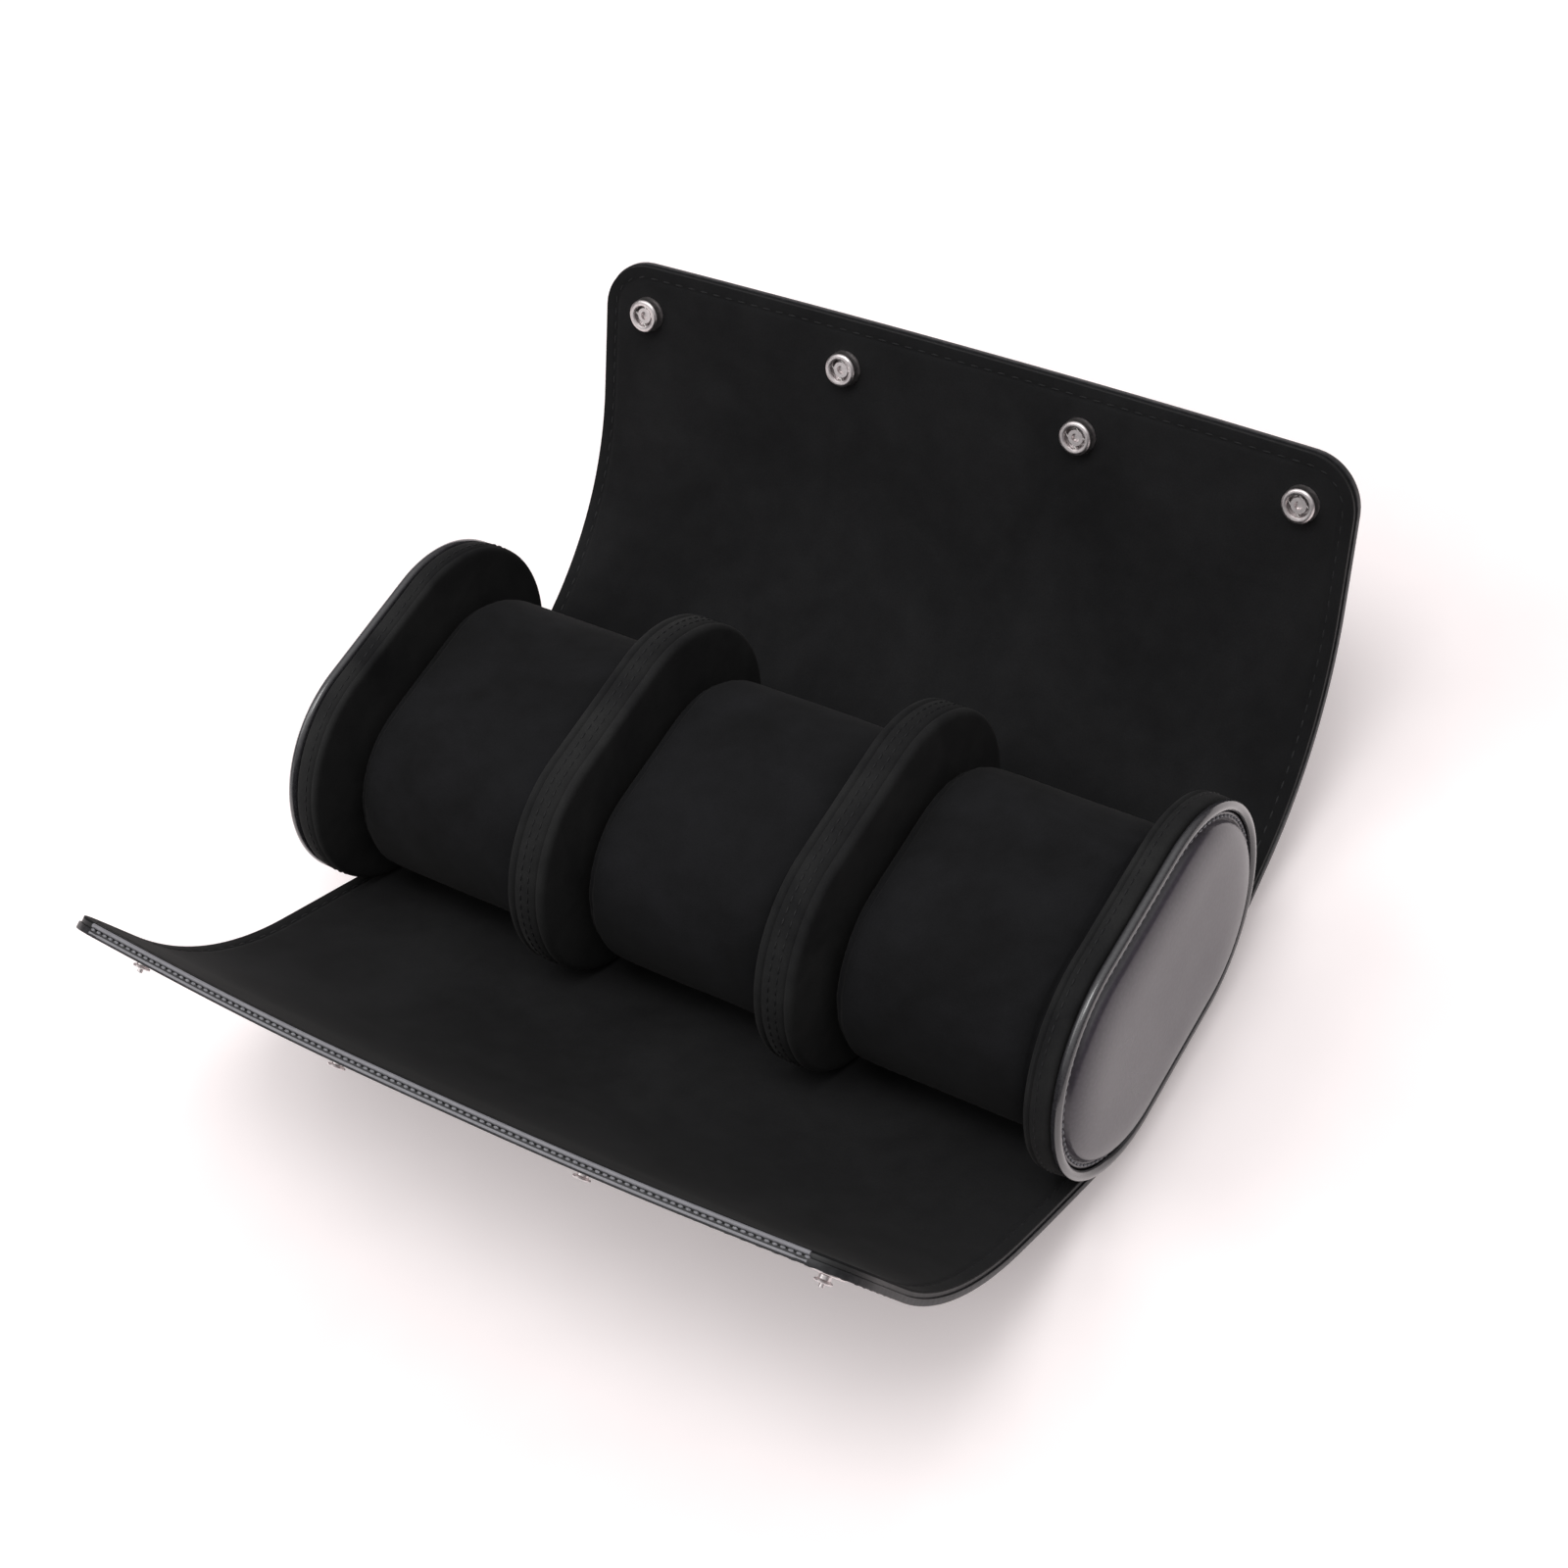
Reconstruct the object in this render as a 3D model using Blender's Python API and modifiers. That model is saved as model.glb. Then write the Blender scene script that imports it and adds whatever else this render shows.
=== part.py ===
"""Three-place watch roll, lying open on its flat base. Metres, X along the roll, -Y to the front, +Z up.

The origin is on the underside of the cover, below the middle of the pads.
"""

import math

import bmesh
import bpy
from mathutils import Matrix

# Pads and dividers: a racetrack outline, stood on its long side. The end pads stand proud of the wrap.
roll_length = 0.2028
end_pad_proud = 0.0023
pad_radius = 0.0306
pad_straight = 0.0296
end_pad_thickness = 0.0064
pad_edge_radius = 0.0012
divider_thickness = 0.011
divider_edge_radius = 0.0016
seam_inset = 0.0026
end_pad_seam_inset = 0.002
seam_depth = 0.0004
seam_width = 0.0009

# Leather on the outer face of each end pad
piping_radius = 0.0012
face_edge_thickness = 0.0012
face_seam_inset = 0.0014
dome_rise = 0.0034
dome_reach = 0.013

# Cushions, which lift out
cushion_radius = 0.0262
cushion_straight = 0.0246
cushion_side_gap = 0.0004
cushion_end_bulge = 0.0006
cushion_crown = 0.0008
cushion_edge_radius = 0.0022

# The wrap: a cover and a lining, bonded and stitched round the edge
cover_thickness = 0.0015
lining_thickness = 0.0012
lining_margin = 0.0004
rim_radius = 0.0004
corner_radius = 0.0122
fit_gap = 0.0003

rear_hug_angle = math.radians(17.6)
rear_lower_run = 0.0273
rear_bend_radius = 0.0804
rear_bend_angle = math.radians(42.1)
rear_upper_run = 0.0356
front_hug_angle = math.radians(30.6)
front_lower_run = 0.0359
front_bend_radius = 0.0785
front_bend_angle = math.radians(38)

# Snap fasteners: four pairs, a socket on the rear flap and a stud on the front one
inner_snap_x = 0.0319
outer_snap_inset = 0.0128
socket_setback = 0.0122
stud_setback = 0.0179
socket_radius = 0.0043
socket_height = 0.003
socket_floor = 0.0006
socket_mouth_radius = 0.0026
socket_wall = 0.0009
socket_lip = 0.0006
socket_round = 0.0007
cap_radius = 0.006
cap_rise = 0.0014
cap_rim = 0.0006
rivet_radius = 0.0014
rivet_head_radius = 0.0021
rivet_head_thickness = 0.0003
spring_wire_radius = 0.0002
spring_leg_offset = 0.0016
spring_turn = math.radians(45)
stud_radius = 0.0043
stud_flange = 0.0005
stud_edge = 0.0002
stud_fillet = 0.0003
stud_head_radius = 0.002
stud_head_round = 0.0003
stud_head_thickness = 0.0006
post_flange_radius = 0.0038
post_flange_thickness = 0.0004
post_radius = 0.0006
post_recess = 0.0003

round_steps = 14
turned_steps = 14

# Sizes that follow from those above
wall = lining_thickness + fit_gap + cover_thickness
wrap_radius = pad_radius + fit_gap
pad_height = wall + wrap_radius
end_pad_front = roll_length / 2 + end_pad_proud - 2 * piping_radius - fit_gap
end_pad_back = end_pad_front - end_pad_thickness
compartment = (2 * end_pad_back - 2 * divider_thickness) / 3
divider_x = (compartment + divider_thickness) / 2
cushion_x = compartment + divider_thickness
cushion_height = wall + fit_gap + cushion_radius
# The spring's legs close on the stud's neck, behind its head, when the stud's flange meets the socket
socket_chamber = socket_radius - socket_wall
socket_ceiling = socket_height - socket_lip
spring_level = socket_ceiling - fit_gap - spring_wire_radius
stud_neck_radius = spring_leg_offset - spring_wire_radius
stud_height = stud_flange + socket_height - spring_level + spring_wire_radius + stud_head_thickness
closed_girth = 2 * math.pi * (wrap_radius + wall / 2) + 2 * pad_straight
snap_places = (
    outer_snap_inset - roll_length / 2,
    -inner_snap_x,
    inner_snap_x,
    roll_length / 2 - outer_snap_inset,
)


def arc(x, y, radius, start, end, steps):
    """Points of an arc, angles in degrees."""
    turns = [math.radians(start + (end - start) * i / steps) for i in range(steps + 1)]
    return [(x + radius * math.cos(t), y + radius * math.sin(t)) for t in turns]


def make_material(name, color, roughness, metallic=0.0):
    material = bpy.data.materials.new(name)
    material.use_nodes = True
    shader = material.node_tree.nodes["Principled BSDF"]
    shader.inputs["Base Color"].default_value = (*color, 1)
    shader.inputs["Roughness"].default_value = roughness
    shader.inputs["Metallic"].default_value = metallic
    return material


def add_object(name, data, material=None, collection="watch_roll"):
    obj = bpy.data.objects.new(name, data)
    bpy.data.collections[collection].objects.link(obj)
    if material:
        obj.data.materials.append(material)
    return obj


# The section of the wrap. A flap runs round the pad, goes straight, bends up and ends straight.
def flap_spans(flap):
    return [
        (wrap_radius * flap["hug"], wrap_radius),
        (flap["lower"], None),
        (flap["bend_radius"] * flap["bend"], flap["bend_radius"]),
        (flap["upper"], None),
    ]


def flap_length(flap):
    return sum(length for length, radius in flap_spans(flap))


def flap_place(flap, distance, depth):
    """Y, Z and slope of the wrap at a distance from the flat base and a depth below its inner face."""
    across = pad_straight / 2
    up = wall
    angle = 0.0
    spans = flap_spans(flap)
    for i, (length, radius) in enumerate(spans):
        step = distance if i == len(spans) - 1 else min(distance, length)
        distance -= step
        if radius is None:
            across += step * math.cos(angle)
            up += step * math.sin(angle)
            continue
        turned = angle + step / radius
        across += radius * (math.sin(turned) - math.sin(angle))
        up += radius * (math.cos(angle) - math.cos(turned))
        angle = turned
    across += depth * math.sin(angle)
    up -= depth * math.cos(angle)
    return flap["side"] * across, up, angle


def flap_rows(flap, margin):
    """Distances of the cross-rows of a sheet, close together on the bends and round the corners."""
    rows = [0.0]
    for length, radius in flap_spans(flap):
        count = 1 if radius is None else max(2, math.ceil(length / radius / math.radians(7)))
        rows += [rows[-1] + length * (i + 1) / count for i in range(count)]
    end = rows.pop() - margin
    reach = corner_radius - margin
    rows = [row for row in rows if row < end - reach]
    rows += [end - reach + reach * math.sin(math.radians(a)) for a in (0, 18, 36, 54, 72, 90)]
    return rows


def half_width(flap, distance, margin):
    """Half of a sheet's width, less near the flap's rounded corners."""
    reach = corner_radius - margin
    left = max(0.0, flap_length(flap) - margin - distance)
    drop = max(0.0, reach - left)
    return roll_length / 2 - margin - (reach - math.sqrt(reach**2 - drop**2))


rear = {
    "side": 1,
    "hug": rear_hug_angle,
    "lower": rear_lower_run,
    "bend_radius": rear_bend_radius,
    "bend": rear_bend_angle,
    "upper": rear_upper_run,
}
front = {
    "side": -1,
    "hug": front_hug_angle,
    "lower": front_lower_run,
    "bend_radius": front_bend_radius,
    "bend": front_bend_angle,
    "upper": 0.0,
}
# The front flap is as long as it must be for its studs to meet the sockets when the roll is closed
front_length = closed_girth + socket_setback + stud_setback - pad_straight - flap_length(rear)
front["upper"] = front_length - flap_length(front)


def snap_matrix(flap, x, setback, depth, outward):
    """A frame on the flap whose Z stands out of the wrap, inwards or outwards."""
    y, z, angle = flap_place(flap, flap_length(flap) - setback, depth)
    turn = flap["side"] * angle + (math.pi if outward else 0.0)
    return Matrix.Translation((x, y, z)) @ Matrix.Rotation(turn, 4, "X")


def make_sheet(name, depth, thickness, margin, material):
    rows = [(front, d) for d in reversed(flap_rows(front, margin))]
    rows += [(rear, d) for d in flap_rows(rear, margin)]
    bm = bmesh.new()
    bmesh.ops.create_grid(bm, x_segments=1, y_segments=len(rows) - 1, size=1)
    grid = sorted(bm.verts, key=lambda v: (round(v.co.y, 5), v.co.x))
    for i, vert in enumerate(grid):
        flap, distance = rows[i // 2]
        y, z, angle = flap_place(flap, distance, depth)
        width = half_width(flap, distance, margin)
        vert.co = (width if i % 2 else -width, y, z)
    mesh = bpy.data.meshes.new(name)
    bm.to_mesh(mesh)
    bm.free()
    obj = add_object(name, mesh, material)
    shell = obj.modifiers.new("shell", "SOLIDIFY")
    shell.thickness = thickness
    shell.offset = -1
    shell.use_even_offset = True
    rim = obj.modifiers.new("rim", "BEVEL")
    rim.width = min(rim_radius, 0.4 * thickness)
    rim.segments = 2
    rim.limit_method = "ANGLE"
    rim.angle_limit = math.radians(60)
    return obj


def cut_hole(obj, name, matrix, radius, low, high):
    """Takes a round hole out of a sheet, between two heights along the matrix's Z."""
    bm = bmesh.new()
    bmesh.ops.create_cone(
        bm, cap_ends=True, segments=turned_steps, radius1=radius, radius2=radius, depth=high - low
    )
    bmesh.ops.translate(bm, vec=(0, 0, (low + high) / 2), verts=bm.verts)
    mesh = bpy.data.meshes.new(name)
    bm.to_mesh(mesh)
    bm.free()
    cutter = add_object(name, mesh, collection="cutters")
    cutter.matrix_world = matrix
    cutter.hide_render = True
    cutter.display_type = "WIRE"
    cut = obj.modifiers.new(name, "BOOLEAN")
    cut.object = cutter
    cut.operation = "DIFFERENCE"
    cut.solver = "EXACT"


def make_racetrack(name, profile, straight, x, height, material, closed=False):
    """Sweeps a profile of (x, radius) points round a racetrack: a half turn, a straight run and a mirror."""
    bm = bmesh.new()
    verts = [bm.verts.new((px, straight / 2, -radius)) for px, radius in profile]
    ends = list(zip(verts, verts[1:]))
    if closed:
        ends.append((verts[-1], verts[0]))
    edges = [bm.edges.new(pair) for pair in ends]
    spun = bmesh.ops.spin(
        bm,
        geom=verts + edges,
        cent=(0, straight / 2, 0),
        axis=(1, 0, 0),
        angle=math.pi,
        steps=round_steps,
    )
    last = [e for e in spun["geom_last"] if isinstance(e, bmesh.types.BMEdge)]
    for side in (edges, last):
        grown = bmesh.ops.extrude_edge_only(bm, edges=side)["geom"]
        moved = [v for v in grown if isinstance(v, bmesh.types.BMVert)]
        bmesh.ops.translate(bm, vec=(0, -straight / 2, 0), verts=moved)
    bmesh.ops.remove_doubles(bm, verts=bm.verts, dist=1e-6)
    bmesh.ops.recalc_face_normals(bm, faces=bm.faces)
    mesh = bpy.data.meshes.new(name)
    bm.to_mesh(mesh)
    bm.free()
    mesh.shade_smooth()
    mesh.set_sharp_from_angle(angle=math.radians(35))
    obj = add_object(name, mesh, material)
    obj.location = (x, 0, height)
    half = obj.modifiers.new("other_half", "MIRROR")
    half.use_axis = (False, True, False)
    half.use_clip = True
    half.merge_threshold = 0.00001
    return obj


def make_turned(name, profile, matrix, material, closed=False):
    """Turns a profile of (radius, z) points, run down its outer side, about the matrix's Z."""
    edges = [(i, i + 1) for i in range(len(profile) - 1)]
    if closed:
        edges.append((len(profile) - 1, 0))
    mesh = bpy.data.meshes.new(name)
    mesh.from_pydata([(radius, 0, z) for radius, z in profile], edges, [])
    obj = add_object(name, mesh, material)
    obj.matrix_world = matrix
    turn = obj.modifiers.new("turn", "SCREW")
    turn.steps = turned_steps
    turn.render_steps = turned_steps
    turn.use_merge_vertices = True
    turn.merge_threshold = 0.00001
    turn.use_smooth_shade = True
    return obj


def slab_profile(low, high, radius, edge):
    """A flat pad with rounded edges."""
    profile = [(low, 0.0)]
    profile += arc(low + edge, radius - edge, edge, 180, 90, 3)
    profile += arc(high - edge, radius - edge, edge, 90, 0, 3)
    return profile + [(high, 0.0)]


def seam(x, radius):
    return [(x - seam_width / 2, radius), (x, radius - seam_depth), (x + seam_width / 2, radius)]


def make_end_pad(side, name, suede, leather, cord):
    """A suede-wrapped pad with a padded leather panel inside a piped edge."""
    pad = slab_profile(end_pad_back, end_pad_front, pad_radius, pad_edge_radius)
    middle = len(pad) // 2
    pad[middle:middle] = seam(end_pad_back + end_pad_seam_inset, pad_radius)
    face_back = end_pad_front + fit_gap
    face_front = face_back + face_edge_thickness
    face_radius = pad_radius - 2 * piping_radius - fit_gap
    groove = face_radius - face_seam_inset
    dome_edge = groove - seam_width / 2
    face = [
        (face_back, 0.0),
        (face_back, face_radius),
        (face_front - seam_depth, face_radius),
        (face_front, face_radius - seam_depth),
        (face_front, groove + seam_width / 2),
        (face_front - seam_depth, groove),
    ]
    # Foam lifts the panel steeply at its edge, on a quarter of an ellipse, to a level middle
    for turn in (math.radians(angle) for angle in (0, 20, 42, 66, 90)):
        inset = dome_reach * (1 - math.cos(turn))
        face.append((face_front + dome_rise * math.sin(turn), dome_edge - inset))
    face.append((face_front + dome_rise, 0.0))
    ring = arc(face_back + piping_radius, pad_radius - piping_radius, piping_radius, 0, 315, 7)
    pieces = (("pad", pad, suede, False), ("face", face, leather, False), ("piping", ring, cord, True))
    for piece, profile, material, closed in pieces:
        outline = [(side * px, radius) for px, radius in profile]
        make_racetrack(f"end_{piece}_{name}", outline, pad_straight, 0, pad_height, material, closed)


def make_divider(name, x, material):
    half = divider_thickness / 2
    profile = slab_profile(-half, half, pad_radius, divider_edge_radius)
    middle = len(profile) // 2
    seams = seam(seam_inset - half, pad_radius) + seam(half - seam_inset, pad_radius)
    profile[middle:middle] = seams
    make_racetrack(name, profile, pad_straight, x, pad_height, material)


def make_cushion(name, x, material):
    """A soft block, fuller in the middle of its band and of its two ends."""
    half = compartment / 2 - cushion_side_gap
    flat = half - cushion_end_bulge
    shoulder = cushion_radius - cushion_crown
    edge = cushion_edge_radius
    left = [(-half, 0.0), (-flat - cushion_end_bulge / 2, shoulder / 2)]
    left += arc(-flat + edge, shoulder - edge, edge, 180, 90, 3)
    left += [(-flat / 2, cushion_radius - cushion_crown / 4)]
    right = [(-px, radius) for px, radius in reversed(left)]
    profile = left + [(0.0, cushion_radius)] + right
    make_racetrack(name, profile, cushion_straight, x, cushion_height, material)


def make_socket(index, x, metal, steel):
    """The rear flap's half of a snap: outer cap and rivet, socket ring and its hairpin spring."""
    outer = snap_matrix(rear, x, socket_setback, wall + fit_gap, True)
    inner = snap_matrix(rear, x, socket_setback, -fit_gap, False)
    bore = rivet_radius + fit_gap
    ring = arc(socket_radius - socket_round, socket_height - socket_round, socket_round, 90, 0, 3)
    ring += [(socket_radius, 0.0), (bore, 0.0), (bore, socket_floor), (socket_chamber, socket_floor)]
    ring += [(socket_chamber, socket_ceiling), (socket_mouth_radius, socket_ceiling)]
    ring += [(socket_mouth_radius, socket_height)]
    make_turned(f"snap_socket_{index}", ring, inner, metal, closed=True)

    reach = -(wall + 3 * fit_gap + socket_floor)
    dome = arc(0, 0, 1, 90, 0, 4)
    cap = [(cap_radius * px, cap_rim + (cap_rise - cap_rim) * pz) for px, pz in dome]
    cap += [(cap_radius, 0.0), (rivet_radius, 0.0), (rivet_radius, reach)]
    cap += [(rivet_head_radius, reach), (rivet_head_radius, reach - rivet_head_thickness)]
    cap += [(0.0, reach - rivet_head_thickness)]
    make_turned(f"snap_cap_{index}", cap, outer, metal)

    bend = socket_chamber - fit_gap - spring_wire_radius
    foot = -math.sqrt(bend**2 - spring_leg_offset**2)
    start = math.degrees(math.acos(spring_leg_offset / bend))
    path = [(spring_leg_offset, foot), (spring_leg_offset, 0.0)]
    path += arc(0, 0, bend, start, 180 - start, 5)
    path += [(-spring_leg_offset, 0.0), (-spring_leg_offset, foot)]
    curve = bpy.data.curves.new(f"snap_spring_{index}", "CURVE")
    curve.dimensions = "3D"
    curve.bevel_depth = spring_wire_radius
    curve.bevel_resolution = 1
    curve.use_fill_caps = True
    spline = curve.splines.new("POLY")
    spline.points.add(len(path) - 1)
    for point, (px, py) in zip(spline.points, path):
        point.co = (px, py, spring_level, 1)
    spring = add_object(f"snap_spring_{index}", curve, steel)
    spring.matrix_world = inner @ Matrix.Rotation(spring_turn, 4, "Z")


def make_stud(index, x, metal):
    """The front flap's half of a snap: a stud outside, on a post whose flange is let into the cover."""
    outer = snap_matrix(front, x, stud_setback, wall + fit_gap, True)
    bore = post_radius + fit_gap
    head = stud_height - stud_head_thickness
    soft = stud_head_round
    stud = [(bore, stud_height)] + arc(stud_head_radius - soft, stud_height - soft, soft, 90, 0, 2)
    stud += arc(stud_head_radius - soft, head + soft, soft, 0, -90, 2)
    stud += [(stud_neck_radius, head), (stud_neck_radius, stud_flange + stud_fillet)]
    stud += [(stud_neck_radius + stud_fillet, stud_flange), (stud_radius - stud_edge, stud_flange)]
    stud += [(stud_radius, stud_flange - stud_edge), (stud_radius, 0.0), (bore, 0.0)]
    make_turned(f"snap_stud_{index}", stud, outer, metal, closed=True)
    seat = -(fit_gap + cover_thickness)
    tip = stud_height - post_recess
    post = [(0.0, tip), (post_radius, tip), (post_radius, seat + post_flange_thickness)]
    post += [(post_flange_radius, seat + post_flange_thickness)]
    post += [(post_flange_radius, seat), (0.0, seat)]
    make_turned(f"snap_post_{index}", post, outer, metal)


def cut_snap_holes(cover, lining):
    """Rivet holes through the rear flap, and stepped seats for the studs' posts in the cover in front."""
    for index, x in enumerate(snap_places, 1):
        hole = snap_matrix(rear, x, socket_setback, 0.0, True)
        for sheet in (cover, lining):
            name = f"rivet_hole_{sheet.name}_{index}"
            cut_hole(sheet, name, hole, rivet_radius + fit_gap, -wall, 2 * wall)
        seat = snap_matrix(front, x, stud_setback, lining_thickness + fit_gap, True)
        cut_hole(cover, f"post_hole_{index}", seat, post_radius + fit_gap, -fit_gap / 2, 2 * wall)
        deep = post_flange_thickness + fit_gap
        cut_hole(cover, f"post_seat_{index}", seat, post_flange_radius + fit_gap, -fit_gap / 2, deep)


def main():
    for obj in list(bpy.data.objects):
        bpy.data.objects.remove(obj)
    for name in ("watch_roll", "cutters"):
        bpy.context.scene.collection.children.link(bpy.data.collections.new(name))

    leather = make_material("pu_leather", (0.022, 0.022, 0.024), 0.42)
    panel = make_material("smooth_leather", (0.035, 0.035, 0.038), 0.35)
    piping = make_material("piping_leather", (0.04, 0.04, 0.042), 0.3)
    lining_suede = make_material("lining_suede", (0.012, 0.012, 0.013), 0.95)
    pad_suede = make_material("pad_suede", (0.014, 0.013, 0.013), 0.95)
    cushion_suede = make_material("cushion_suede", (0.01, 0.01, 0.011), 0.95)
    nickel = make_material("nickel_plate", (0.6, 0.58, 0.56), 0.25, 1.0)
    steel = make_material("spring_steel", (0.35, 0.34, 0.33), 0.35, 1.0)

    lining = make_sheet("lining", 0.0, lining_thickness, lining_margin, lining_suede)
    cover = make_sheet("outer_cover", lining_thickness + fit_gap, cover_thickness, 0.0, leather)
    cut_snap_holes(cover, lining)
    make_end_pad(-1, "left", pad_suede, panel, piping)
    make_end_pad(1, "right", pad_suede, panel, piping)
    make_divider("divider_left", -divider_x, pad_suede)
    make_divider("divider_right", divider_x, pad_suede)
    make_cushion("cushion_left", -cushion_x, cushion_suede)
    make_cushion("cushion_middle", 0.0, cushion_suede)
    make_cushion("cushion_right", cushion_x, cushion_suede)
    for index, x in enumerate(snap_places, 1):
        make_socket(index, x, nickel, steel)
        make_stud(index, x, nickel)


main()
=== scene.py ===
# Open three-place watch roll: grained cover, suede lining, pads, cushions and press studs.
# Metres throughout, and mm below turns millimetres to metres.
import math

import bmesh
import bpy
from mathutils import Matrix, Vector, noise


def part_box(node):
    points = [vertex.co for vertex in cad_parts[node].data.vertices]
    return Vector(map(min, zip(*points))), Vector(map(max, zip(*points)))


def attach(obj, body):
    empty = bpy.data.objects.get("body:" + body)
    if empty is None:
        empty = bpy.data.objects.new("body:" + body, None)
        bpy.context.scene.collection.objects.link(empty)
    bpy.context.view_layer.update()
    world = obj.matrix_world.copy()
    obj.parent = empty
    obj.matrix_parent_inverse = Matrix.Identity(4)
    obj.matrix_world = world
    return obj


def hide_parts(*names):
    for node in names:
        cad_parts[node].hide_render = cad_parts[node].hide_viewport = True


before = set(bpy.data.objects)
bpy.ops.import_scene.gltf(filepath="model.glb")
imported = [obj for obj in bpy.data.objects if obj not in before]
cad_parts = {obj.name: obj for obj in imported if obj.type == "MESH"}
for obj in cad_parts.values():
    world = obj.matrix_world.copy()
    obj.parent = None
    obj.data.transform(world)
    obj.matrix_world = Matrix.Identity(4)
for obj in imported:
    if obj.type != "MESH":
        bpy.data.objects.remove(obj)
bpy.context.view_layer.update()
mm = 0.001


# Small helpers
def deselectAll():
    bpy.ops.object.select_all(action="DESELECT")


def makeActive(obj):
    deselectAll()
    obj.select_set(True)
    bpy.context.view_layer.objects.active = obj


def startEdit(obj, kind="VERT"):
    makeActive(obj)
    bpy.ops.object.mode_set(mode="EDIT")
    bpy.ops.mesh.select_mode(type=kind)
    bpy.ops.mesh.select_all(action="DESELECT")


def endEdit():
    bpy.ops.object.mode_set(mode="OBJECT")


def pick(obj, test, kind="VERT"):
    # selects what passes the test, in edit mode
    bpy.ops.mesh.select_mode(type=kind)
    bpy.ops.mesh.select_all(action="DESELECT")
    shape = bmesh.from_edit_mesh(obj.data)
    items = {"VERT": shape.verts, "EDGE": shape.edges, "FACE": shape.faces}[kind]
    for item in items:
        if test(item):
            item.select_set(True)
    shape.select_flush_mode()
    bmesh.update_edit_mesh(obj.data)


def applyAll(obj):
    makeActive(obj)
    for mod in list(obj.modifiers):
        bpy.ops.object.modifier_apply(modifier=mod.name)


def settle(obj, matrix):
    # puts a piece's place into its mesh
    obj.data.transform(matrix)
    makeActive(obj)
    bpy.ops.object.transform_apply(location=True, rotation=True, scale=True)


def smooth(obj, degrees):
    makeActive(obj)
    bpy.ops.object.shade_smooth_by_angle(angle=math.radians(degrees))


def finishPiece(obj, name, material, nodes=()):
    obj.name = name
    obj.data.name = name
    obj.data.materials.clear()
    obj.data.materials.append(material)
    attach(obj, "root")
    if nodes:
        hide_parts(*nodes)
    return obj


def fromEdges(name, points, closed=False):
    # an outline in the XZ plane, to be spun
    edges = [(i, i + 1) for i in range(len(points) - 1)]
    if closed:
        edges.append((len(points) - 1, 0))
    mesh = bpy.data.meshes.new(name)
    mesh.from_pydata(points, edges, [])
    obj = bpy.data.objects.new(name, mesh)
    bpy.context.scene.collection.objects.link(obj)
    return obj


def arcPoints(x, y, radius, start, end, steps):
    turns = [math.radians(start + (end - start) * i / steps) for i in range(steps + 1)]
    return [(x + radius * math.cos(t), y + radius * math.sin(t)) for t in turns]


# Materials
def linear(hexColor):
    parts = [int(hexColor[i:i + 2], 16) / 255 for i in (0, 2, 4)]
    return [c / 12.92 if c <= 0.04045 else ((c + 0.055) / 1.055) ** 2.4 for c in parts] + [1.0]


def addNode(tree, kind, settings=None, links=None):
    # settings: attribute or input values; links: input name or index -> output socket
    node = tree.nodes.new(kind)
    for key, value in (settings or {}).items():
        if isinstance(key, int) or key in node.inputs:
            node.inputs[key].default_value = value
        else:
            setattr(node, key, value)
    for key, socket in (links or {}).items():
        tree.links.new(socket, node.inputs[key])
    return node


def startMaterial(name):
    material = bpy.data.materials.new(name)
    material.use_nodes = True
    tree = material.node_tree
    shader = tree.nodes["Principled BSDF"]
    place = addNode(tree, "ShaderNodeTexCoord").outputs["Object"]
    return material, tree, shader, place


def ramp(tree, source, low, high, colorLow, colorHigh):
    node = addNode(tree, "ShaderNodeValToRGB", links={"Fac": source})
    node.color_ramp.elements[0].position = low
    node.color_ramp.elements[1].position = high
    node.color_ramp.elements[0].color = colorLow
    node.color_ramp.elements[1].color = colorHigh
    return node


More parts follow.
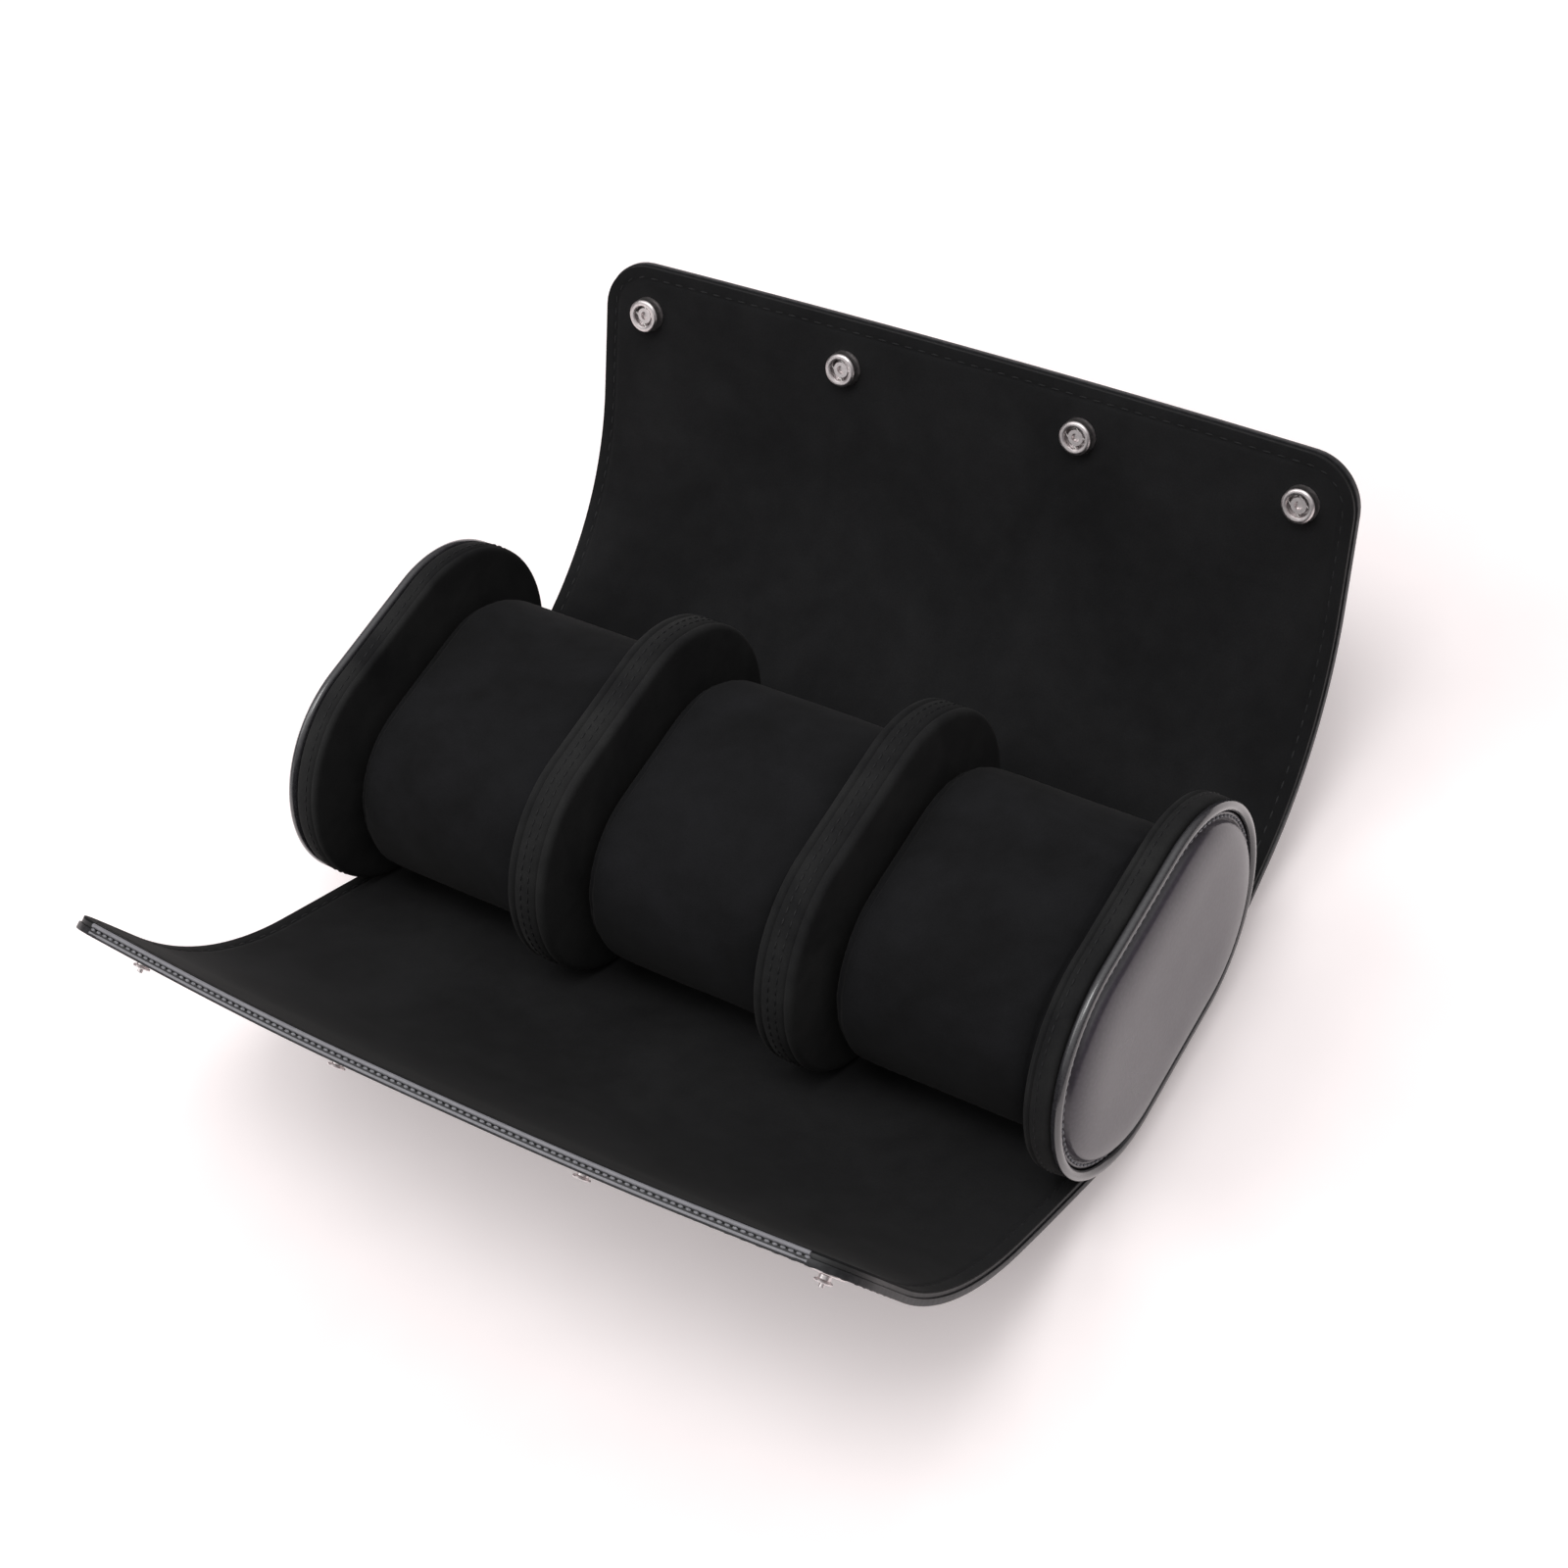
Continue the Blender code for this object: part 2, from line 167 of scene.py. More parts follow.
# Microsuede: polyester fibres split and sanded to a nap, so it is matt, with a pale bloom at grazing
# angles and lighter patches where the nap has been brushed the other way.
def microSuede(name, dark, light, patchMm, fibreMm=0.35, bump=0.25):
    material, tree, shader, place = startMaterial(name)
    patches = addNode(tree, "ShaderNodeTexNoise",
                      {"Scale": 1 / (patchMm * mm), "Detail": 3.0, "Roughness": 0.55, "Distortion": 0.6},
                      {"Vector": place})
    strokes = addNode(tree, "ShaderNodeTexNoise",
                      {"Scale": 1 / (6 * mm), "Detail": 2.0, "Roughness": 0.6}, {"Vector": place})
    mixed = addNode(tree, "ShaderNodeMath", {"operation": "MULTIPLY_ADD", 1: 0.3},
                    {0: strokes.outputs["Fac"], 2: patches.outputs["Fac"]})
    tone = ramp(tree, mixed.outputs[0], 0.48, 0.86, linear(dark), linear(light))
    fibres = addNode(tree, "ShaderNodeTexNoise",
                     {"Scale": 1 / (fibreMm * mm), "Detail": 2.0, "Roughness": 0.7}, {"Vector": place})
    speck = addNode(tree, "ShaderNodeMix", {"data_type": "RGBA", "blend_type": "MULTIPLY", 0: 0.35})
    grey = ramp(tree, fibres.outputs["Fac"], 0.3, 0.7, (0.55, 0.55, 0.55, 1), (1.3, 1.3, 1.3, 1))
    tree.links.new(tone.outputs[0], speck.inputs["A"])
    tree.links.new(grey.outputs[0], speck.inputs["B"])
    tree.links.new(speck.outputs["Result"], shader.inputs["Base Color"])
    rise = addNode(tree, "ShaderNodeBump", {"Strength": bump, "Distance": 0.12 * mm},
                   {"Height": fibres.outputs["Fac"]})
    tree.links.new(rise.outputs[0], shader.inputs["Normal"])
    shader.inputs["Roughness"].default_value = 0.95
    shader.inputs["Specular IOR Level"].default_value = 0.15
    shader.inputs["Sheen Weight"].default_value = 0.09
    shader.inputs["Sheen Roughness"].default_value = 0.5
    shader.inputs["Sheen Tint"].default_value = linear("8a8886")
    return material


# PU leather: a polyurethane film embossed with a pebble grain over a knit backing, satin, IOR 1.5.
def puLeather(name, dark, light, rough, grainMm, bump):
    material, tree, shader, place = startMaterial(name)
    pebble = addNode(tree, "ShaderNodeTexVoronoi",
                     {"feature": "SMOOTH_F1", "Scale": 1 / (grainMm * mm), "Smoothness": 0.6},
                     {"Vector": place})
    wander = addNode(tree, "ShaderNodeTexNoise",
                     {"Scale": 1 / (grainMm * 0.5 * mm), "Detail": 3.0, "Roughness": 0.6}, {"Vector": place})
    height = addNode(tree, "ShaderNodeMath", {"operation": "MULTIPLY_ADD", 1: 0.35},
                     {0: wander.outputs["Fac"], 2: pebble.outputs["Distance"]})
    tone = ramp(tree, height.outputs[0], 0.25, 0.85, linear(light), linear(dark))
    tree.links.new(tone.outputs[0], shader.inputs["Base Color"])
    handled = addNode(tree, "ShaderNodeTexNoise", {"Scale": 1 / (30 * mm), "Detail": 2.0}, {"Vector": place})
    gloss = addNode(tree, "ShaderNodeMapRange",
                    {"From Min": 0.3, "From Max": 0.7, "To Min": rough - 0.05, "To Max": rough + 0.07},
                    {"Value": handled.outputs["Fac"]})
    tree.links.new(gloss.outputs[0], shader.inputs["Roughness"])
    rise = addNode(tree, "ShaderNodeBump", {"Strength": bump, "Distance": 0.1 * mm, "invert": True},
                   {"Height": height.outputs[0]})
    tree.links.new(rise.outputs[0], shader.inputs["Normal"])
    shader.inputs["IOR"].default_value = 1.5
    return material


# Acrylic edge paint, brushed on a cut edge in two coats: glossy, with slow unevenness along the edge.
def paintedEdge(name, color, rough):
    material, tree, shader, place = startMaterial(name)
    coats = addNode(tree, "ShaderNodeTexNoise", {"Scale": 1 / (2.5 * mm), "Detail": 2.0}, {"Vector": place})
    tone = ramp(tree, coats.outputs["Fac"], 0.3, 0.7, [0.85 * c for c in linear(color)], linear(color))
    tree.links.new(tone.outputs[0], shader.inputs["Base Color"])
    gloss = addNode(tree, "ShaderNodeMapRange", {"To Min": rough - 0.05, "To Max": rough + 0.1},
                    {"Value": coats.outputs["Fac"]})
    tree.links.new(gloss.outputs[0], shader.inputs["Roughness"])
    rise = addNode(tree, "ShaderNodeBump", {"Strength": 0.3, "Distance": 0.08 * mm},
                   {"Height": coats.outputs["Fac"]})
    tree.links.new(rise.outputs[0], shader.inputs["Normal"])
    shader.inputs["IOR"].default_value = 1.5
    return material


# Bonded polyester sewing thread: its twisted plies make the surface slightly uneven, with a soft shine.
def sewingThread(name, color):
    material, tree, shader, place = startMaterial(name)
    plies = addNode(tree, "ShaderNodeTexNoise", {"Scale": 1 / (0.3 * mm), "Detail": 1.0}, {"Vector": place})
    tone = ramp(tree, plies.outputs["Fac"], 0.35, 0.7, linear(color),
                [min(1.0, 1.8 * c) for c in linear(color)])
    tree.links.new(tone.outputs[0], shader.inputs["Base Color"])
    rise = addNode(tree, "ShaderNodeBump", {"Strength": 0.4, "Distance": 0.05 * mm},
                   {"Height": plies.outputs["Fac"]})
    tree.links.new(rise.outputs[0], shader.inputs["Normal"])
    shader.inputs["Roughness"].default_value = 0.6
    return material


# Nickel-plated pressed brass and drawn spring wire: bright, with a gloss and tone that wear has made uneven.
def pressedMetal(name, color, rough):
    material, tree, shader, place = startMaterial(name)
    wear = addNode(tree, "ShaderNodeTexNoise", {"Scale": 1 / (0.8 * mm), "Detail": 3.0}, {"Vector": place})
    gloss = addNode(tree, "ShaderNodeMapRange", {"To Min": rough - 0.06, "To Max": rough + 0.12},
                    {"Value": wear.outputs["Fac"]})
    tree.links.new(gloss.outputs[0], shader.inputs["Roughness"])
    tone = ramp(tree, wear.outputs["Fac"], 0.3, 0.7, [0.8 * c for c in linear(color)], linear(color))
    tree.links.new(tone.outputs[0], shader.inputs["Base Color"])
    shader.inputs["Metallic"].default_value = 1.0
    return material


liningSuede = microSuede("microsuede_lining", "141415", "1e1e1f", 38)
padSuede = microSuede("microsuede_pads", "1a1a1b", "282828", 22)
# The cushions' suede is darker than the lining's, partly as painted shade for the pockets they lie in.
cushionSuedeWithShade = microSuede("microsuede_cushions_painted_shade", "121213", "1b1b1d", 26)
coverLeather = puLeather("pu_leather_cover", "1b1b1d", "29292b", 0.42, 1.3, 0.35)
coverLeather.node_tree.nodes["Principled BSDF"].inputs["Specular IOR Level"].default_value = 0.3
# Pale grey for the front welts: edge paint, and also a painted highlight where the front edge catches the
# light.
edgePaintAndHighlight = paintedEdge("grey_edge_paint_and_painted_highlight", "838287", 0.35)
boardEdge = paintedEdge("acrylic_edge_paint_black", "161617", 0.5)
panelLeather = puLeather("pu_leather_panel", "2e2932", "38323c", 0.3, 0.9, 0.1)
panelLeather.node_tree.nodes["Principled BSDF"].inputs["Coat Weight"].default_value = 0.4
panelLeather.node_tree.nodes["Principled BSDF"].inputs["Coat Roughness"].default_value = 0.22
pipingLeather = puLeather("pu_leather_piping", "2c2b2e", "373639", 0.22, 0.8, 0.06)
pipingLeather.node_tree.nodes["Principled BSDF"].inputs["Coat Weight"].default_value = 1.0
pipingLeather.node_tree.nodes["Principled BSDF"].inputs["Coat Roughness"].default_value = 0.2
darkThread = sewingThread("polyester_thread_dark", "171718")
darkThread.node_tree.nodes["Principled BSDF"].inputs["Specular IOR Level"].default_value = 0.25
greyThread = sewingThread("polyester_thread_grey", "6a6a6e")
nickel = pressedMetal("nickel_plated_brass", "ddd6d6", 0.3)
springSteel = pressedMetal("spring_steel_wire", "e8e4e2", 0.22)
print("materials made")


# The wrap. Its section is read from the same few sizes as the frame's: flat base, then each flap
# goes round the pad, straight, round a wide bend and straight to its edge.
padLow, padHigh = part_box("end_pad_right")
coverLow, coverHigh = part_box("outer_cover")
wrapSet = {
    "length": coverHigh.x - coverLow.x,
    "baseFlat": 29.6 * mm,
    "padRadius": (padHigh.z - padLow.z) / 2,
    "gap": 0.3 * mm,
    "liningThick": 1.2 * mm,  # in the frame; here it is a suede face on a backing
    "faceThick": 0.45 * mm,
    "backingThick": 1.0 * mm,
    "coverThick": 1.5 * mm,
    "liningMargin": 0.4 * mm,
    "corner": 12.2 * mm,
    "rear": {"hug": math.radians(17.6), "lower": 27.3 * mm, "bendRadius": 80.4 * mm,
             "bend": math.radians(42.1), "upper": 35.6 * mm},
    "front": {"hug": math.radians(30.6), "lower": 35.9 * mm, "bendRadius": 78.5 * mm,
              "bend": math.radians(38), "upper": 0.0},
    "socketSetback": 12.2 * mm,
    "studSetback": 17.9 * mm,
    "freeFrom": 55 * mm,      # beyond this the flap hangs free of the pads
    "bow": 3.0 * mm,          # the middle of each free edge bows out, its corners curl in
    "bowLevel": 0.45,
    "ripple": 0.35 * mm,      # slow waves of soft leather
    "rippleAcross": 0.06,
    "rippleAlong": 0.045,
    "waist": 1.1 * mm,        # the side edges draw in where the wrap hugs the pads
    "waistReach": 42 * mm,
    "stitchInset": 3.0 * mm,
    "stitchPinch": 0.28 * mm,
    "pinchReach": 0.55 * mm,
    "rimShare": 0.42,         # how much of a layer's thickness its rounded rim takes
    "gridAcross": 4 * mm,
    "gridAlong": 2.4 * mm,
}
wallThick = wrapSet["liningThick"] + wrapSet["gap"] + wrapSet["coverThick"]
wrapRadius = wrapSet["padRadius"] + wrapSet["gap"]
padCentre = (padHigh.z + padLow.z) / 2


def flapSpans(flap):
    bend = flap["bendRadius"]
    return [(wrapRadius * flap["hug"], wrapRadius), (flap["lower"], None), (bend * flap["bend"], bend),
            (flap["upper"], None)]


def flapLength(flap):
    return sum(span[0] for span in flapSpans(flap))


closedGirth = 2 * math.pi * (wrapRadius + wallThick / 2) + 2 * wrapSet["baseFlat"]
frontLength = (closedGirth + wrapSet["socketSetback"] + wrapSet["studSetback"]
               - wrapSet["baseFlat"] - flapLength(wrapSet["rear"]))
wrapSet["front"]["upper"] = frontLength - flapLength(wrapSet["front"])
rearEnd = wrapSet["baseFlat"] / 2 + flapLength(wrapSet["rear"])
frontEnd = wrapSet["baseFlat"] / 2 + frontLength


def sectionPlace(along):
    # y, z and slope of the inner face, along the developed leather from the middle of the base
    side = 1 if along >= 0 else -1
    flap = wrapSet["rear"] if along >= 0 else wrapSet["front"]
    half = wrapSet["baseFlat"] / 2
    left = abs(along) - half
    if left <= 0:
        return along, wallThick, 0.0
    across, up, angle = half, wallThick, 0.0
    spans = flapSpans(flap)
    for i, (length, radius) in enumerate(spans):
        step = left if i == len(spans) - 1 else min(left, length)
        left -= step
        if radius is None:
            across += step * math.cos(angle)
            up += step * math.sin(angle)
        else:
            turned = angle + step / radius
            across += radius * (math.sin(turned) - math.sin(angle))
            up += radius * (math.cos(angle) - math.cos(turned))
            angle = turned
    return side * across, up, side * angle


def edgeGap(x, along):
    # distance from the wrap's rounded outline
    reach = (rearEnd if along >= 0 else frontEnd) - abs(along)
    side = wrapSet["length"] / 2 - abs(x)
    corner = wrapSet["corner"]
    if reach < corner and side < corner:
        return corner - math.hypot(corner - reach, corner - side)
    return min(reach, side)


def wrapPlace(x, along, depth):
    # a point of the soft wrap, with its bow and slow ripples, and its inward direction
    y, z, slope = sectionPlace(along)
    inward = Vector((0, -math.sin(slope), math.cos(slope)))
    end = rearEnd if along >= 0 else frontEnd
    free = max(0.0, (abs(along) - wrapSet["freeFrom"]) / (end - wrapSet["freeFrom"]))
    across = 2 * x / wrapSet["length"]
    lift = wrapSet["bow"] * (wrapSet["bowLevel"] - across * across) * free ** 1.5
    spot = Vector((x / wrapSet["rippleAcross"], along / wrapSet["rippleAlong"], 3.7))
    wave = noise.noise(spot) * wrapSet["ripple"] * min(1.0, 2.5 * free)
    drawnIn = wrapSet["waist"] * math.exp(-(along / wrapSet["waistReach"]) ** 2)
    point = Vector((x - across * drawnIn, y, z)) - inward * (depth + lift + wave)
    return point, inward


def cornerRound(x, along):
    # takes a point of the square grid to the sheet's rounded corner
    end = rearEnd if along >= 0 else frontEnd
    corner = wrapSet["corner"]
    a = 1 - (wrapSet["length"] / 2 - abs(x)) / corner
    b = 1 - (end - abs(along)) / corner
    if a <= 0 or b <= 0:
        return x, along
    newA = a * math.sqrt(1 - b * b / 2)
    newB = b * math.sqrt(1 - a * a / 2)
    newX = wrapSet["length"] / 2 - corner * (1 - newA)
    newAlong = end - corner * (1 - newB)
    return math.copysign(newX, x), math.copysign(newAlong, along)


fineEdge = [0, 0.5, 1.0, 1.6, 2.2, 2.7, 3.1, 3.4, 3.7, 4.0, 4.4, 5.0, 6.0, 7.5, 9.5, 12.0]


def sheetLines(low, high, step):
    # lines of a sheet's grid, close together beside both edges
    near = [v * mm for v in fineEdge]
    inner = [low + v for v in near]
    outer = [high - v for v in reversed(near)]
    count = max(1, round((outer[0] - inner[-1]) / step))
    gap = (outer[0] - inner[-1]) / count
    return inner + [inner[-1] + gap * i for i in range(1, count)] + outer


def makeSheet(depth, thick, margin, pinchDepth):
    # a grid laid flat, cut round at its corners, then rolled to the section and thickened
    xs = sheetLines(-wrapSet["length"] / 2, wrapSet["length"] / 2, wrapSet["gridAcross"])
    alongs = sheetLines(-frontEnd, rearEnd, wrapSet["gridAlong"])
    deselectAll()
    bpy.ops.mesh.primitive_grid_add(x_subdivisions=len(xs) - 1, y_subdivisions=len(alongs) - 1, size=2)
    obj = bpy.context.object
    order = sorted(obj.data.vertices, key=lambda v: (round(v.co.y, 5), v.co.x))
    shrinkX = 1 - 2 * margin / wrapSet["length"]
    for i, vert in enumerate(order):
        x, along = cornerRound(xs[i % len(xs)], alongs[i // len(xs)])
        end = rearEnd if along >= 0 else frontEnd
        gap = (edgeGap(x, along) - wrapSet["stitchInset"]) / wrapSet["pinchReach"]
        pinch = pinchDepth * math.exp(-gap * gap)
        vert.co = wrapPlace(x * shrinkX, along * (1 - margin / end), depth + pinch)[0]
    shell = obj.modifiers.new("thickness", "SOLIDIFY")
    shell.thickness = thick
    shell.offset = -1
    shell.use_even_offset = True
    rim = obj.modifiers.new("turnedEdge", "BEVEL")
    rim.width = wrapSet["rimShare"] * thick
    rim.segments = 3
    rim.limit_method = "ANGLE"
    rim.angle_limit = math.radians(60)
    applyAll(obj)
    smooth(obj, 50)
    return obj


liningMargin, faceThick = wrapSet["liningMargin"], wrapSet["faceThick"]
layers = (
    # name, depth of its face, thickness, margin, pinch of the stitching, material, slot, node
    ("lining_suede", 0.0, faceThick, liningMargin, wrapSet["stitchPinch"], liningSuede,
     "lining_suede", "lining"),
    ("lining_backing", faceThick, wrapSet["backingThick"], liningMargin, 0.0, boardEdge,
     "cover_leather", "lining"),
    ("cover_leather", wrapSet["liningThick"] + wrapSet["gap"], wrapSet["coverThick"], 0.0, 0.0, coverLeather,
     "cover_leather", "outer_cover"),
)
for name, depth, thick, margin, pinchDepth, material, slotName, node in layers:
    sheet = makeSheet(depth, thick, margin, pinchDepth)
    finishPiece(sheet, name, material, (node,))
print("wrap rolled")


# Stitches: one short loop of thread, copied along a line
def stitchShape(length, thick):
    deselectAll()
    bpy.ops.mesh.primitive_uv_sphere_add(segments=8, ring_count=6, radius=1.0)
    obj = bpy.context.object
    bpy.ops.transform.resize(value=(length / 2, thick / 2, thick / 2))
    bpy.ops.object.transform_apply(location=True, rotation=True, scale=True)
    verts = [v.co.copy() for v in obj.data.vertices]
    faces = [tuple(p.vertices) for p in obj.data.polygons]
    bpy.data.objects.remove(obj)
    return verts, faces


def sewLine(name, places, length, thick, material):
    # places: (point, direction along the seam, direction out of the surface)
    verts, faces = stitchShape(length, thick)
    allVerts = []
    allFaces = []
    for point, forward, out in places:
        side = out.cross(forward).normalized()
        up = forward.cross(side).normalized()
        turn = Matrix((forward, side, up)).transposed()
        start = len(allVerts)
        allVerts += [point + turn @ v for v in verts]
        allFaces += [tuple(start + i for i in face) for face in faces]
    mesh = bpy.data.meshes.new(name)
    mesh.from_pydata(allVerts, [], allFaces)
    obj = bpy.data.objects.new(name, mesh)
    bpy.context.scene.collection.objects.link(obj)
    smooth(obj, 80)
    return finishPiece(obj, name, material)


def outlinePoints(inset, pitch):
    # the developed outline, walked at an inset, in steps of a stitch
    halfX = wrapSet["length"] / 2 - inset
    high, low = rearEnd - inset, -(frontEnd - inset)
    reach = wrapSet["corner"] - inset
    dense = []
    for cx, cy, start in ((halfX - reach, high - reach, 0), (-halfX + reach, high - reach, 90),
                          (-halfX + reach, low + reach, 180), (halfX - reach, low + reach, 270)):
        dense += arcPoints(cx, cy, reach, start, start + 90, 12)
    dense.append(dense[0])
    sizes = [math.dist(a, b) for a, b in zip(dense, dense[1:])]
    count = round(sum(sizes) / pitch)
    step = sum(sizes) / count
    points = []
    run, travelled = 0, 0.0
    for i in range(count):
        target = i * step
        while travelled + sizes[run] < target:
            travelled += sizes[run]
            run += 1
        share = (target - travelled) / sizes[run]
        a, b = dense[run], dense[run + 1]
        points.append((a[0] + (b[0] - a[0]) * share, a[1] + (b[1] - a[1]) * share))
    return points


stitchSet = {"pitch": 3.6 * mm, "length": 2.5 * mm, "thick": 0.55 * mm, "sink": 0.12 * mm}


def wrapStitches(name, depth, inside, material):
    points = outlinePoints(wrapSet["stitchInset"], stitchSet["pitch"])
    places = []
    for i, (x, along) in enumerate(points):
        nextX, nextAlong = points[(i + 1) % len(points)]
        here, inward = wrapPlace(x, along, depth)
        there = wrapPlace(nextX, nextAlong, depth)[0]
        out = inward if inside else -inward
        forward = (there - here).normalized()
        places.append((here - out * stitchSet["sink"], forward, out))
    return sewLine(name, places, stitchSet["length"], stitchSet["thick"], material)


wrapStitches("lining_stitches", wrapSet["stitchPinch"] - 0.1 * mm, True, darkThread)
wrapStitches("cover_stitches", wallThick, False, darkThread)

# The front edge is bound with two rounded welts and a close row of stitches between them. The welts' pale
# grey is partly their edge paint and partly a painted highlight of the lit front edge.
trimSet = {
    "welts": ((0.65 * mm, 0.5 * mm), (2.3 * mm, 0.42 * mm)),   # depth below the lining's face, radius
    "stitchDepth": 1.48 * mm,
    "stitchPitch": 1.75 * mm, "stitchLength": 1.3 * mm, "stitchThick": 0.6 * mm,
    "end": 91.5 * mm,         # stops in the rounding of each corner
    "proud": 0.12 * mm,
    "step": 3 * mm,
}


def frontEdgePlace(x, depth, inset):
    # a point of the cut edge, which turns with the corner
    corner = wrapSet["corner"]
    past = max(0.0, abs(x) - (wrapSet["length"] / 2 - corner))
    back = corner - math.sqrt(corner ** 2 - past ** 2)
    return wrapPlace(x, -(frontEnd - back - inset), depth)[0]


def frontWelt(name, depth, radius):
    count = round(2 * trimSet["end"] / trimSet["step"])
    xs = [-trimSet["end"] + 2 * trimSet["end"] * i / count for i in range(count + 1)]
    curve = bpy.data.curves.new(name, "CURVE")
    curve.dimensions = "3D"
    curve.bevel_depth = radius
    curve.bevel_resolution = 3
    curve.use_fill_caps = True
    spline = curve.splines.new("POLY")
    spline.points.add(count)
    for point, x in zip(spline.points, xs):
        point.co = (*frontEdgePlace(x, depth, radius - trimSet["proud"]), 1)
    obj = bpy.data.objects.new(name, curve)
    bpy.context.scene.collection.objects.link(obj)
    makeActive(obj)
    bpy.ops.object.convert(target="MESH")
    obj = bpy.context.object
    smooth(obj, 60)
    return finishPiece(obj, name, edgePaintAndHighlight)


for i, (depth, radius) in enumerate(trimSet["welts"], 1):
    frontWelt(f"front_edge_welt_{i}", depth, radius)
count = round(2 * trimSet["end"] / trimSet["stitchPitch"])
places = []
for i in range(count):
    x = -trimSet["end"] + (i + 0.5) * trimSet["stitchPitch"]
    here = frontEdgePlace(x, trimSet["stitchDepth"], 0.0)
    there = frontEdgePlace(x + 0.1 * mm, trimSet["stitchDepth"], 0.0)
    inside = frontEdgePlace(x, trimSet["stitchDepth"], 2 * mm)
    places.append((here, (there - here).normalized(), (here - inside).normalized()))
sewLine("front_edge_stitches", places, trimSet["stitchLength"], trimSet["stitchThick"], greyThread)
print("wrap stitched")


# Pads, dividers and cushions are racetrack slabs: a round slab whose halves are moved apart
def raceSlab(name, low, high, radius, straight, height, sides=114, cuts=12):
    deselectAll()
    bpy.ops.mesh.primitive_cylinder_add(vertices=sides, radius=radius, depth=high - low,
                                        end_fill_type="NGON", location=((low + high) / 2, 0, height),
                                        rotation=(0, math.pi / 2, 0))
    obj = bpy.context.object
    bpy.ops.object.transform_apply(location=True, rotation=True, scale=True)
    startEdit(obj)
    for side in (1, -1):
        pick(obj, lambda v: v.co.y * side > 0)
        bpy.ops.transform.translate(value=(0, side * straight / 2, 0))
    near = straight / 2 + 0.04 * radius
    pick(obj, lambda e: max(abs(v.co.y) for v in e.verts) < near
         and e.verts[0].co.y * e.verts[1].co.y < 0, "EDGE")
    bpy.ops.mesh.subdivide(number_cuts=cuts)
    endEdit()
    return obj


def ringCut(obj, x):
    # a new edge loop round the slab, at a place along X
    bpy.ops.mesh.select_all(action="SELECT")
    bpy.ops.mesh.bisect(plane_co=(x, 0, 0), plane_no=(1, 0, 0))


def sinkRing(obj, x, straight, height, depth):
    # draws one loop in, towards the racetrack's middle line
    shape = bmesh.from_edit_mesh(obj.data)
    for vert in shape.verts:
        if abs(vert.co.x - x) < 1e-6:
            core = Vector((x, max(-straight / 2, min(straight / 2, vert.co.y)), height))
            away = vert.co - core
            if away.length > depth:
                vert.co = core + away * (1 - depth / away.length)
    bmesh.update_edit_mesh(obj.data)


def racePath(x, radius, straight, height, pitch):
    # stitch places round a racetrack: point, forward, outward
    halfTurn = math.pi * radius
    total = 2 * halfTurn + 2 * straight
    count = round(total / pitch)
    places = []
    for i in range(count):
        s = (i + 0.5) * total / count
        if s < straight:
            point, out = Vector((x, straight / 2 - s, height + radius)), Vector((0, 0, 1))
        elif s < straight + halfTurn:
            t = (s - straight) / radius
            out = Vector((0, -math.sin(t), math.cos(t)))
            point = Vector((x, -straight / 2, height)) + out * radius
        elif s < 2 * straight + halfTurn:
            point, out = Vector((x, s - 1.5 * straight - halfTurn, height - radius)), Vector((0, 0, -1))
        else:
            t = (s - 2 * straight - halfTurn) / radius
            out = Vector((0, math.sin(t), -math.cos(t)))
            point = Vector((x, straight / 2, height)) + out * radius
        places.append((point, out.cross(Vector((1, 0, 0))), out))
    return places


padSet = {
    "edge": 1.3 * mm,
    "straight": padHigh.y - padLow.y - (padHigh.z - padLow.z),
    "seam": 2.6 * mm,         # panel seam, in from each face of a divider
    "endSeam": 2.0 * mm,      # the same on an end pad, on its inner side only
    "seamDepth": 0.45 * mm,
    "seamHalf": 0.5 * mm,
    "topStitch": 1.9 * mm,    # the topstitch runs this far inside the seam
    "endTopStitch": 1.3 * mm,
    "puff": 0.35 * mm,        # foam lifts the middle of a face
    "puffInsets": (2.2, 3.0, 5.0, 6.0, 6.0),   # mm, rings of the face from its edge
    "stitchPitch": 2.6 * mm, "stitchLength": 1.9 * mm, "stitchThick": 0.42 * mm,
}


def softPad(name, low, high, seams):
    radius, straight = wrapSet["padRadius"], padSet["straight"]
    obj = raceSlab(name, low, high, radius, straight, padCentre)
    startEdit(obj)
    for side in (low, high):
        pick(obj, lambda f: abs(f.calc_center_median().x - side) < 1e-6 and abs(f.normal.x) > 0.9, "FACE")
        for inset in padSet["puffInsets"]:
            bpy.ops.mesh.inset(thickness=inset * mm, use_even_offset=True)
            puffStep = padSet["puff"] * (0.1 if inset < 3.5 else 0.18)
            bpy.ops.transform.translate(value=(math.copysign(puffStep, side - (low + high) / 2), 0, 0))
    for x in seams:
        for offset in (-padSet["seamHalf"], 0.0, padSet["seamHalf"]):
            ringCut(obj, x + offset)
    endEdit()
    trim = obj.modifiers.new("softEdge", "BEVEL")
    trim.width = padSet["edge"]
    trim.segments = 4
    trim.limit_method = "ANGLE"
    trim.angle_limit = math.radians(50)
    applyAll(obj)
    startEdit(obj)
    for x in seams:
        sinkRing(obj, x, straight, padCentre, padSet["seamDepth"])
    endEdit()
    smooth(obj, 55)
    return obj


def padStitches(name, x):
    places = racePath(x, wrapSet["padRadius"], padSet["straight"], padCentre, padSet["stitchPitch"])
    return sewLine(name, places, padSet["stitchLength"], padSet["stitchThick"], darkThread)


for node in ("divider_left", "divider_right"):
    low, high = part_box(node)
    seams = (low.x + padSet["seam"], high.x - padSet["seam"])
    pad = softPad(node, low.x + padSet["puff"], high.x - padSet["puff"], seams)
    finishPiece(pad, node + "_suede", padSuede, (node,))
    for i, x in enumerate((seams[0] + padSet["topStitch"], seams[1] - padSet["topStitch"])):
        padStitches(f"{node}_stitches_{i + 1}", x)

